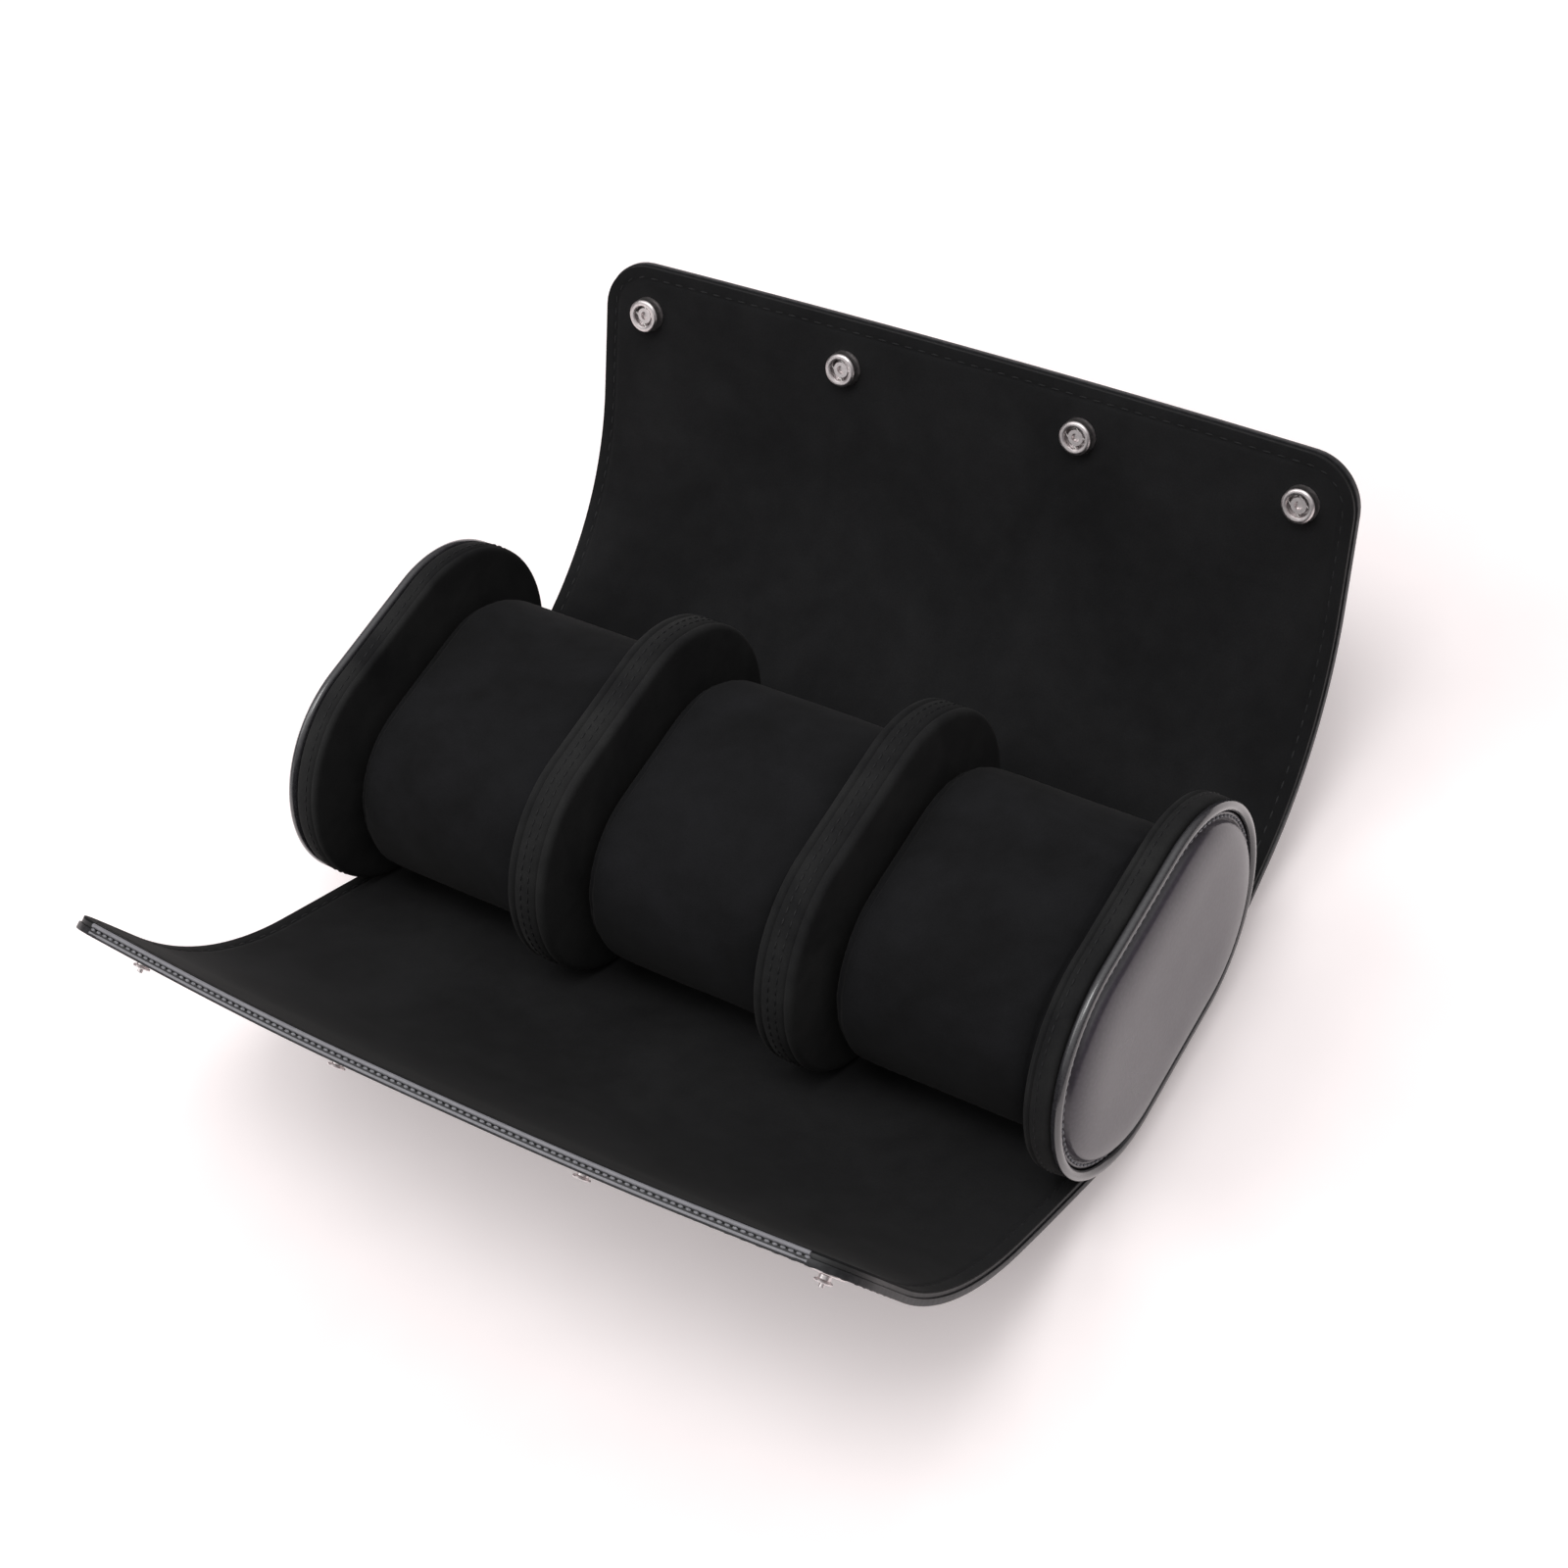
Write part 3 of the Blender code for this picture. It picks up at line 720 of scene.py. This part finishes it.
for side, node in ((-1, "end_pad_left"), (1, "end_pad_right")):
    low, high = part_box(node)
    inner, outer = (low.x, high.x) if side > 0 else (high.x, low.x)
    seams = (inner + side * padSet["endSeam"],)
    face = inner + side * padSet["puff"]
    pad = softPad(node, min(face, outer), max(face, outer), seams)
    finishPiece(pad, node + "_suede", padSuede, (node,))
    padStitches(f"{node}_stitches", inner + side * (padSet["endSeam"] + padSet["endTopStitch"]))
print("pads made")


# End panels: leather over foam, let in behind a piped edge and stitched round
panelSet = {
    "pipeRadius": 1.2 * mm,
    "edgeRound": 0.45 * mm,
    "land": 1.45 * mm,        # flat strip that carries the stitching
    "groove": 1.75 * mm,      # its middle, in from the panel's edge
    "grooveDepth": 0.4 * mm,
    "domeStart": 1.95 * mm,
    "domeRise": 3.4 * mm,
    "domeReach": 13 * mm,
    "domeSteps": (0.15, 0.4, 0.8, 1.3, 2.0, 3.0, 4.4, 6.4, 9.2, 13.0),   # mm in from its start
    "stitchIn": 0.9 * mm, "stitchPitch": 2.1 * mm, "stitchLength": 1.5 * mm, "stitchThick": 0.7 * mm,
}


def panelSection():
    # (inset, height) from the edge to the level middle, the foam steepest at its start and crowned
    edge, land, groove = panelSet["edgeRound"], panelSet["land"], panelSet["groove"]
    section = [(0.0, -edge), (0.1 * edge, -0.5 * edge), (0.35 * edge, -0.15 * edge), (edge, 0.0), (land, 0.0)]
    section += [(groove - 0.15 * mm, -0.7 * panelSet["grooveDepth"]), (groove, -panelSet["grooveDepth"])]
    section += [(groove + 0.12 * mm, -0.7 * panelSet["grooveDepth"])]
    for step in panelSet["domeSteps"]:
        share = 1 - (1 - step * mm / panelSet["domeReach"]) ** 3
        section.append((panelSet["domeStart"] + step * mm, panelSet["domeRise"] * share ** 0.42))
    return section


def endPanel(side, node):
    low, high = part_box(node)
    back, front = (low.x, high.x) if side > 0 else (high.x, low.x)
    radius = (high.z - low.z) / 2
    level = front - side * panelSet["domeRise"]
    section = panelSection()
    top = level + side * section[0][1]
    obj = raceSlab(node, min(back, top), max(back, top), radius, padSet["straight"], padCentre)
    startEdit(obj)
    pick(obj, lambda f: abs(f.calc_center_median().x - top) < 1e-6 and abs(f.normal.x) > 0.9, "FACE")
    for (inset, height), (nextInset, nextHeight) in zip(section, section[1:]):
        bpy.ops.mesh.inset(thickness=nextInset - inset, use_even_offset=True)
        bpy.ops.transform.translate(value=(side * (nextHeight - height), 0, 0))
    endEdit()
    smooth(obj, 70)
    finishPiece(obj, node + "_leather", panelLeather, (node,))
    places = racePath(level + side * 0.1 * mm, radius - panelSet["stitchIn"], padSet["straight"], padCentre,
                      panelSet["stitchPitch"])
    turned = [(point, forward, Vector((side, 0, 0))) for point, forward, out in places]
    sewLine(node + "_stitches", turned, panelSet["stitchLength"], panelSet["stitchThick"], greyThread)


def endPiping(side, node):
    low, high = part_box(node)
    middle = (low.x + high.x) / 2
    radius = wrapSet["padRadius"] - panelSet["pipeRadius"]
    ring = [(middle + panelSet["pipeRadius"] * math.cos(t), padSet["straight"] / 2,
             padCentre - radius + panelSet["pipeRadius"] * math.sin(t))
            for t in [2 * math.pi * i / 16 for i in range(16)]]
    obj = fromEdges(node, ring, closed=True)
    startEdit(obj, "EDGE")
    bpy.ops.mesh.select_all(action="SELECT")
    bpy.ops.mesh.spin(steps=48, angle=-math.pi, center=(middle, padSet["straight"] / 2, padCentre),
                      axis=(1, 0, 0))
    pick(obj, lambda e: e.is_boundary, "EDGE")
    bpy.ops.mesh.extrude_edges_move(TRANSFORM_OT_translate={"value": (0, -padSet["straight"] / 2, 0)})
    bpy.ops.mesh.select_all(action="SELECT")
    bpy.ops.mesh.remove_doubles(threshold=0.00001)
    endEdit()
    half = obj.modifiers.new("otherHalf", "MIRROR")
    half.use_axis = (False, True, False)
    half.merge_threshold = 0.00002
    applyAll(obj)
    startEdit(obj)
    bpy.ops.mesh.select_all(action="SELECT")
    bpy.ops.mesh.normals_make_consistent(inside=False)
    endEdit()
    smooth(obj, 80)
    finishPiece(obj, node + "_leather", pipingLeather, (node,))


for side, end in ((-1, "left"), (1, "right")):
    endPanel(side, "end_face_" + end)
    endPiping(side, "end_piping_" + end)
print("end panels made")


# Cushions: foam in a suede band with two end panels. One is simulated and copied to the three places.
cushionSet = {
    "start": 1.6 * mm,        # the foam starts this much smaller than the finished cushion
    "voxel": 3.2 * mm,
    "pressure": 4.0,
    "frames": 20,
    "cap": 1.5 * mm,          # no point moves further than this
    "seam": 2.2 * mm,
    "seamDepth": 0.5 * mm,
    "seamHalf": 0.7 * mm,
    "edge": 4 * mm,
}


def simulateCushion(obj):
    remesh = obj.modifiers.new("voxels", "REMESH")
    remesh.mode = "VOXEL"
    remesh.voxel_size = cushionSet["voxel"]
    applyAll(obj)
    rest = [v.co.copy() for v in obj.data.vertices]
    cloth = obj.modifiers.new("Cloth", "CLOTH")
    cloth.settings.use_pressure = True
    cloth.settings.uniform_pressure_force = cushionSet["pressure"]
    cloth.settings.effector_weights.gravity = 0
    cloth.point_cache.frame_start = 1
    cloth.point_cache.frame_end = cushionSet["frames"]
    for frameNumber in range(1, cushionSet["frames"] + 1):
        bpy.context.scene.frame_set(frameNumber)
    makeActive(obj)
    bpy.ops.object.modifier_apply(modifier="Cloth")
    bpy.context.scene.frame_set(1)
    for vert, start in zip(obj.data.vertices, rest):
        moved = vert.co - start
        if moved.length > cushionSet["cap"]:
            vert.co = start + moved * (cushionSet["cap"] / moved.length)
    soften = obj.modifiers.new("subdivide", "SUBSURF")
    soften.levels = 1
    soften.render_levels = 1
    applyAll(obj)


low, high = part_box("cushion_middle")
cushionRadius = (high.z - low.z) / 2
cushionStraight = high.y - low.y - 2 * cushionRadius
cushionCentre = (high.z + low.z) / 2
halfWide = (high.x - low.x) / 2
model = raceSlab("cushion", -halfWide + cushionSet["start"], halfWide - cushionSet["start"],
                 cushionRadius - cushionSet["start"], cushionStraight, cushionCentre, sides=58, cuts=6)
trim = model.modifiers.new("softEdge", "BEVEL")
trim.width = cushionSet["edge"]
trim.segments = 3
trim.limit_method = "ANGLE"
trim.angle_limit = math.radians(50)
applyAll(model)
simulateCushion(model)
# the cushion fills its place and lies flat on the lining
for vert in model.data.vertices:
    vert.co.x = max(-halfWide, min(halfWide, vert.co.x))
    vert.co.z = max(low.z, vert.co.z)
startEdit(model)
seamX = halfWide - cushionSet["seam"] - cushionSet["edge"] / 2
for x in (-seamX, seamX):
    for step in (-1.5, -1, -0.5, 0, 0.5, 1, 1.5):
        ringCut(model, x + step * cushionSet["seamHalf"])
endEdit()
for vert in model.data.vertices:
    near = (abs(vert.co.x) - seamX) / cushionSet["seamHalf"]
    core = Vector((vert.co.x, max(-cushionStraight / 2, min(cushionStraight / 2, vert.co.y)), cushionCentre))
    away = vert.co - core
    if away.length > 0.6 * cushionRadius:
        vert.co -= away.normalized() * cushionSet["seamDepth"] * math.exp(-near * near)
smooth(model, 60)
for seed, node in enumerate(("cushion_left", "cushion_middle", "cushion_right")):
    low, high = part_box(node)
    middle = (low.x + high.x) / 2
    copy = model.copy()
    copy.data = model.data.copy()
    bpy.context.scene.collection.objects.link(copy)
    for vert in copy.data.vertices:
        wander = noise.noise(vert.co / 0.018 + Vector((seed * 9.1, 0, 0))) * 0.3 * mm
        out = Vector((0, vert.normal.y, vert.normal.z))
        if vert.co.z > low.z + 3 * mm:
            vert.co += out * wander
        vert.co.x += middle
    finishPiece(copy, node + "_suede", cushionSuedeWithShade, (node,))
bpy.data.objects.remove(model)
print("cushions filled")


# Press studs: sockets with a hairpin spring on the rear flap, studs on the outside of the front flap
snapSet = {
    "socket": 4.3 * mm, "height": 3.0 * mm, "floor": 0.6 * mm, "mouth": 2.6 * mm, "chamber": 3.4 * mm,
    "ceiling": 2.4 * mm, "lipRound": 0.75 * mm,
    "rivet": 1.4 * mm, "rivetHead": 2.1 * mm,
    "wire": 0.24 * mm, "leg": 1.6 * mm, "level": 1.9 * mm,
    "cap": 6.0 * mm, "capRise": 1.4 * mm,
    "stud": 4.3 * mm, "studNeck": 1.4 * mm, "studHead": 2.0 * mm, "studHeight": 2.4 * mm, "bore": 0.9 * mm,
    "sunk": 0.25 * mm,        # soft suede gives under the metal
    "turns": 40,
}


def turnedPiece(name, profile, matrix, closed=False):
    # a (radius, height) outline spun about Z, then set in its place
    obj = fromEdges(name, [(r, 0, z) for r, z in profile], closed)
    startEdit(obj)
    bpy.ops.mesh.select_all(action="SELECT")
    bpy.ops.mesh.spin(steps=snapSet["turns"], angle=2 * math.pi, center=(0, 0, 0), axis=(0, 0, 1))
    bpy.ops.mesh.select_all(action="SELECT")
    bpy.ops.mesh.remove_doubles(threshold=0.000005)
    bpy.ops.mesh.normals_make_consistent(inside=False)
    endEdit()
    settle(obj, matrix)
    smooth(obj, 40)
    return obj


def snapPlace(x, along, depth, outward):
    point, inward = wrapPlace(x, along, depth)
    aim = -inward if outward else inward
    turn = Matrix((Vector((1, 0, 0)), aim.cross(Vector((1, 0, 0))), aim)).transposed().to_4x4()
    return Matrix.Translation(point) @ turn


def springWire(name, matrix):
    bend = snapSet["chamber"] - snapSet["wire"] - 0.3 * mm
    leg = snapSet["leg"]
    start = math.degrees(math.acos(leg / bend))
    path = [(leg, -math.sqrt(bend ** 2 - leg ** 2)), (leg, 0.0)]
    path += arcPoints(0, 0, bend, start, 180 - start, 10)
    path += [(-leg, 0.0), (-leg, -math.sqrt(bend ** 2 - leg ** 2))]
    curve = bpy.data.curves.new(name, "CURVE")
    curve.dimensions = "3D"
    curve.bevel_depth = snapSet["wire"]
    curve.bevel_resolution = 3
    curve.use_fill_caps = True
    spline = curve.splines.new("POLY")
    spline.points.add(len(path) - 1)
    for point, (px, py) in zip(spline.points, path):
        point.co = (px, py, snapSet["level"], 1)
    obj = bpy.data.objects.new(name, curve)
    bpy.context.scene.collection.objects.link(obj)
    makeActive(obj)
    bpy.ops.object.convert(target="MESH")
    obj = bpy.context.object
    settle(obj, matrix @ Matrix.Rotation(math.radians(45), 4, "Z"))
    smooth(obj, 60)
    return obj


def socketOutline():
    s = snapSet
    inner, top, soft = s["rivet"] + 0.3 * mm, s["height"], s["lipRound"]
    points = [(inner, 0.0), (s["socket"], 0.0), (s["socket"], 0.5 * mm), (s["socket"] - 0.15 * mm, 0.7 * mm)]
    points += [(s["socket"] - 0.2 * mm, top - soft - 0.1 * mm)]
    points += arcPoints(s["socket"] - 0.2 * mm - soft, top - soft, soft, 0, 90, 6)
    points += [(s["mouth"] + 0.35 * mm, top - 0.02 * mm), (s["mouth"] + 0.1 * mm, top - 0.12 * mm)]
    points += [(s["mouth"], top - 0.35 * mm), (s["mouth"], s["ceiling"]), (s["chamber"], s["ceiling"])]
    return points + [(s["chamber"], s["floor"]), (inner, s["floor"])]


def capOutline():
    # a domed button whose rivet runs through the wrap and is rolled over inside the socket
    s = snapSet
    reach = -(wallThick + 1.5 * mm)
    points = [(s["cap"] * math.sin(t), 0.6 * mm + (s["capRise"] - 0.6 * mm) * math.cos(t))
              for t in (math.radians(a) for a in range(0, 91, 10))]
    points[0] = (0.0, s["capRise"])
    points += [(s["cap"], 0.15 * mm), (s["cap"] - 0.1 * mm, 0.0), (s["rivet"], 0.0), (s["rivet"], reach)]
    points += [(1.8 * mm, reach + 0.05 * mm), (s["rivetHead"], reach - 0.1 * mm)]
    points += [(1.9 * mm, reach - 0.3 * mm)]
    return points + [(1.0 * mm, reach - 0.3 * mm), (0.8 * mm, reach + 0.5 * mm), (0.0, reach + 0.5 * mm)]


def studOutline():
    s = snapSet
    top, head, neck, flange = s["studHeight"], s["studHead"], s["studNeck"], 0.5 * mm
    points = [(s["bore"], top - 0.12 * mm), (s["bore"] + 0.15 * mm, top)]
    points += arcPoints(head - 0.3 * mm, top - 0.3 * mm, 0.3 * mm, 90, -80, 7)
    points += [(neck, top - 0.75 * mm), (neck, flange + 0.3 * mm), (neck + 0.3 * mm, flange)]
    points += [(s["stud"] - 0.25 * mm, flange), (s["stud"] - 0.05 * mm, flange - 0.12 * mm)]
    return points + [(s["stud"], flange - 0.25 * mm), (s["stud"], 0.0), (s["bore"], 0.0)]


snapX = [sum(c.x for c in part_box(f"snap_socket_{i}")) / 2 for i in (1, 2, 3, 4)]
socketAlong = rearEnd - wrapSet["socketSetback"]
studAlong = -(frontEnd - wrapSet["studSetback"])
for i, x in enumerate(snapX, 1):
    inner = snapPlace(x, socketAlong, snapSet["sunk"], False)
    outer = snapPlace(x, socketAlong, wallThick - 0.1 * mm, True)
    ring = turnedPiece("socket", socketOutline(), inner, closed=True)
    finishPiece(ring, f"socket_ring_{i}", nickel, (f"snap_socket_{i}",))
    wire = springWire("spring", inner)
    finishPiece(wire, f"socket_spring_{i}", springSteel, (f"snap_spring_{i}",))
    button = turnedPiece("cap", capOutline(), outer)
    finishPiece(button, f"outer_cap_{i}", nickel, (f"snap_cap_{i}",))
    behind = snapPlace(x, studAlong, wallThick - 0.1 * mm, True)
    stud = turnedPiece("stud", studOutline(), behind, closed=True)
    finishPiece(stud, f"stud_{i}", nickel, (f"snap_stud_{i}",))
    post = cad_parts[f"snap_post_{i}"]
    post.data.materials.clear()
    post.data.materials.append(nickel)
print("press studs set")


# Camera, at the photograph's viewing angle. The photograph is rolled against gravity.
cameraSet = {
    "azimuth": 48.316, "elevation": 51.859, "roll": -21.111,
    "focalPixels": 3003.8, "imagePixels": 1600, "sensor": 36.0,
    "distance": 0.67215,
    "targetPixel": (773.06, 853.36),   # where the middle of the pads shows
}


def placeCamera():
    azimuth, elevation, roll = (math.radians(cameraSet[k]) for k in ("azimuth", "elevation", "roll"))
    back = Vector((math.sin(azimuth) * math.cos(elevation), -math.cos(azimuth) * math.cos(elevation),
                   math.sin(elevation)))
    right = (-back).cross(Vector((0, 0, 1))).normalized()
    up = right.cross(-back)
    turnedRight = right * math.cos(roll) + up * math.sin(roll)
    turnedUp = up * math.cos(roll) - right * math.sin(roll)
    half = cameraSet["imagePixels"] / 2
    perPixel = cameraSet["distance"] / cameraSet["focalPixels"]
    sideways = (cameraSet["targetPixel"][0] - half) * perPixel
    upwards = (half - cameraSet["targetPixel"][1]) * perPixel
    spot = (Vector((0, 0, padCentre)) + back * cameraSet["distance"]
            - turnedRight * sideways - turnedUp * upwards)
    bpy.ops.object.camera_add()
    camera = bpy.context.object
    camera.name = "photoCamera"
    turn = Matrix((turnedRight, turnedUp, back)).transposed().to_4x4()
    camera.matrix_world = Matrix.Translation(spot) @ turn
    camera.data.sensor_width = cameraSet["sensor"]
    camera.data.lens = cameraSet["focalPixels"] * cameraSet["sensor"] / cameraSet["imagePixels"]
    camera.data.clip_start = 0.01
    bpy.context.scene.camera = camera


deselectAll()
placeCamera()


# Floor: pale matt sheet that keeps the shadow. Camera and mirror rays get a little light more, to white.
def paleFloor():
    material, tree, shader, place = startMaterial("matt_backdrop_paper")
    tree.nodes.remove(shader)
    grain = addNode(tree, "ShaderNodeTexNoise", {"Scale": 60.0, "Detail": 1.0}, {"Vector": place})
    tone = ramp(tree, grain.outputs["Fac"], 0.2, 0.8, linear("f5eeee"), linear("f8f1f1"))
    paper = addNode(tree, "ShaderNodeBsdfDiffuse", links={"Color": tone.outputs[0]})
    rays = addNode(tree, "ShaderNodeLightPath")
    seen = addNode(tree, "ShaderNodeMath", {"operation": "MAXIMUM"},
                   {0: rays.outputs["Is Camera Ray"], 1: rays.outputs["Is Glossy Ray"]})
    lit = addNode(tree, "ShaderNodeMath", {"operation": "MULTIPLY", 1: 0.22}, {0: seen.outputs[0]})
    glow = addNode(tree, "ShaderNodeEmission", {"Color": linear("fff4f4")}, {"Strength": lit.outputs[0]})
    both = addNode(tree, "ShaderNodeAddShader", links={0: paper.outputs[0], 1: glow.outputs[0]})
    tree.links.new(both.outputs[0], tree.nodes["Material Output"].inputs["Surface"])
    return material


deselectAll()
bpy.ops.mesh.primitive_plane_add(size=6.0, location=(0, 0, -0.0002))
floor = bpy.context.object
floor.name = "paleFloor"
floor.data.materials.append(paleFloor())

lightSet = {
    # name: (place, size, watts), all white and aimed at the roll
    "overheadSoftbox": ((0.12, -0.2, 2.0), 0.8, 12.0),
    "leftSoftbox": ((-0.63, -0.4, 0.98), 0.7, 2.6),
    "frontSoftbox": ((-0.62, -1.2, 0.28), 0.9, 1.8),   # low, for the metal to show
}
for name, (spot, size, watts) in lightSet.items():
    bpy.ops.object.light_add(type="AREA", location=spot)
    lamp = bpy.context.object
    lamp.name = name
    lamp.data.size = size
    lamp.data.energy = watts
    lamp.rotation_euler = (Vector((0, 0, 0.04)) - Vector(spot)).to_track_quat("-Z", "Y").to_euler()

# The room: grey below, white overhead, with a darker band of walls that shows in glossy leather
world = bpy.data.worlds.new("studio")
bpy.context.scene.world = world
world.use_nodes = True
room = world.node_tree
sky = room.nodes["Background"]
sky.inputs["Strength"].default_value = 0.95
direction = addNode(room, "ShaderNodeTexCoord")
height = addNode(room, "ShaderNodeSeparateXYZ", links={"Vector": direction.outputs["Generated"]})
lift = addNode(room, "ShaderNodeMath", {"operation": "MULTIPLY_ADD", 1: 0.5, 2: 0.5},
               {0: height.outputs["Z"]})
walls = ramp(room, lift.outputs[0], 0.45, 0.95, linear("8c898a"), linear("ffffff"))
dark = walls.color_ramp.elements.new(0.55)
dark.color = linear("6a6769")
mid = walls.color_ramp.elements.new(0.75)
mid.color = linear("a8a6a7")
room.links.new(walls.outputs[0], sky.inputs["Color"])
bpy.context.scene.view_settings.view_transform = "Standard"
print("camera and lights set")

bpy.context.view_layer.update()
